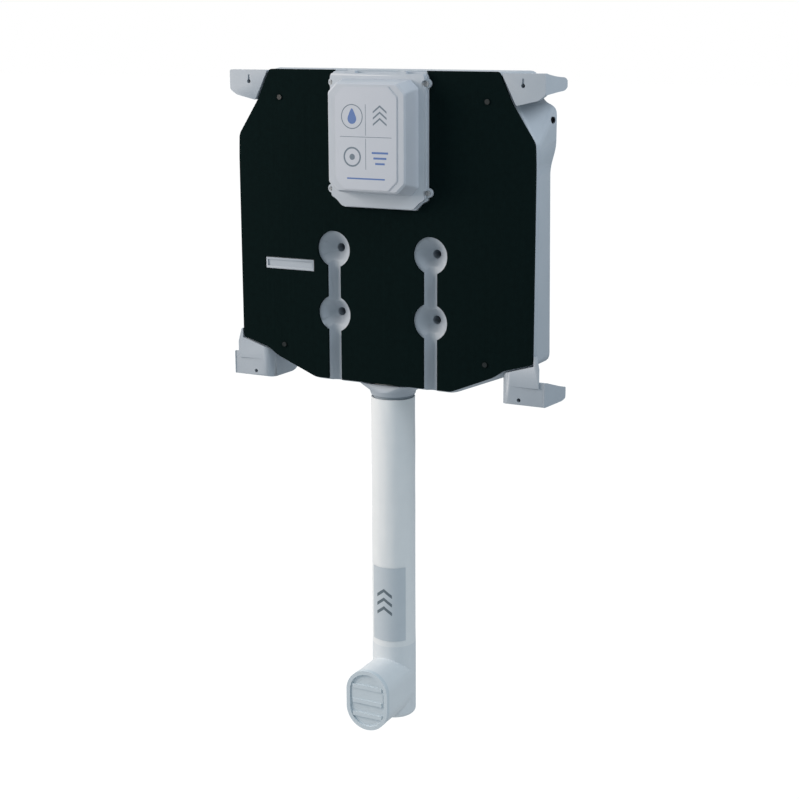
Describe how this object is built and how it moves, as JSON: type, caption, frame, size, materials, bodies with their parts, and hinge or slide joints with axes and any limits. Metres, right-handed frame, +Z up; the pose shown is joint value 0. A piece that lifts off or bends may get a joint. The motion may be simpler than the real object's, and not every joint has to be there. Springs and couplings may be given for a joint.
{
  "type": "concealed toilet cistern",
  "caption": "Slim in-wall toilet cistern: moulded tank with wall lugs, foam-faced front, covered inspection shaft, dual flush and fill valves, and an insulated flush pipe with a capped elbow.",
  "frame": {"origin": "centre of the rectangle of the four wall fixings, on the plane of the wall", "axes": "+X to the right seen from the front, +Y into the wall, +Z up; the front faces -Y"},
  "size_m": [0.478, 0.1314, 0.919],
  "materials": {
    "tank_plastic": "satin",
    "black_foam": "matte",
    "pin_plastic": "satin",
    "rubber": "matte",
    "frame_plastic": "satin",
    "cover_plastic": "satin",
    "label_paper": "satin",
    "steel": "brushed",
    "valve_plastic": "satin",
    "blue_plastic": "satin",
    "grey_nut_plastic": "satin",
    "brass": "satin",
    "tube_plastic": "satin",
    "pipe_plastic": "satin",
    "white_foam": "satin",
    "pipe_film": "satin",
    "cap_plastic": "satin"
  },
  "bodies": {
    "cistern": {"tank_shell": "tank_plastic", "foam_front": "black_foam", "foam_pins": "pin_plastic", "frame_gasket": "rubber", "shaft_frame": "frame_plastic", "frame_screws": "steel", "bearing_block": "valve_plastic", "lever_pin": "steel", "outlet_seal": "rubber", "outlet_body": "valve_plastic", "outlet_nut": "grey_nut_plastic", "pipe_seal": "rubber", "valve_cage": "valve_plastic", "supply_connector": "brass", "connector_washers": "rubber", "connector_nut": "brass", "stop_valve_body": "brass", "gland_nut": "brass", "supply_tube": "tube_plastic", "union_nuts": "brass", "fill_valve_body": "valve_plastic", "inlet_filter": "blue_plastic", "diaphragm": "rubber", "fill_valve_cap": "blue_plastic", "drop_tube": "tube_plastic", "arm_pin": "steel"},
    "flush_pipe_run": {"flush_pipe": "pipe_plastic", "pipe_sleeve": "white_foam", "elbow_shell": "white_foam", "pipe_film": "pipe_film"},
    "elbow_plug": {"elbow_cap": "cap_plastic"},
    "shaft_lid": {"shaft_cover": "cover_plastic", "cover_label": "label_paper"},
    "full_lever": {"full_flush_lever": "blue_plastic"},
    "stem": {"flush_stem": "blue_plastic", "seat_seal": "rubber", "stem_float": "valve_plastic", "lift_hook": "blue_plastic"},
    "half_lever": {"half_flush_lever": "valve_plastic"},
    "half_rod": {"half_flush_rod": "valve_plastic", "half_flush_float": "valve_plastic"},
    "fill_arm": {"float_arm": "blue_plastic", "pilot_pad": "rubber", "float_rod": "tube_plastic", "float_adjuster": "valve_plastic", "float_cup": "valve_plastic"},
    "stop_handle": {"stop_spindle": "steel", "stop_knob": "blue_plastic", "knob_screw": "steel"}
  },
  "joints": [
    {"name": "pipe_swivel", "type": "hinge", "parent": "cistern", "child": "flush_pipe_run", "pos_m": [0, -0.046, -0.3], "axis": [0, 0, 1], "range_deg": [-90, 90]},
    {"name": "plug_pull", "type": "slide", "parent": "flush_pipe_run", "child": "elbow_plug", "axis": [0, -1, 0], "range_m": [0, 0.12]},
    {"name": "lid_lift_off", "type": "slide", "parent": "cistern", "child": "shaft_lid", "axis": [0, -1, 0], "range_m": [0, 0.08]},
    {"name": "full_flush_press", "type": "hinge", "parent": "cistern", "child": "full_lever", "pos_m": [0, -0.062, 0.152], "axis": [1, 0, 0], "range_deg": [0, 22]},
    {"name": "stem_lift", "type": "slide", "parent": "cistern", "child": "stem", "axis": [0, 0, 1], "range_m": [0, 0.015]},
    {"name": "half_flush_press", "type": "hinge", "parent": "cistern", "child": "half_lever", "pos_m": [0, -0.062, 0.152], "axis": [1, 0, 0], "range_deg": [0, 22]},
    {"name": "half_rod_lift", "type": "slide", "parent": "cistern", "child": "half_rod", "axis": [0, 0, 1], "range_m": [0, 0.015]},
    {"name": "float_rise", "type": "hinge", "parent": "cistern", "child": "fill_arm", "pos_m": [-0.118, -0.04, 0.194], "axis": [0, 1, 0], "range_deg": [0, 5]},
    {"name": "stop_turn", "type": "hinge", "parent": "cistern", "child": "stop_handle", "pos_m": [-0.16, -0.06, 0.16], "axis": [0, 1, 0], "range_deg": [0, 90]}
  ],
  "couplings": [
    {"joint": "full_flush_press", "follows": "stem_lift", "rad_per_m": 25.59},
    {"joint": "half_flush_press", "follows": "half_rod_lift", "rad_per_m": 25.59}
  ]
}
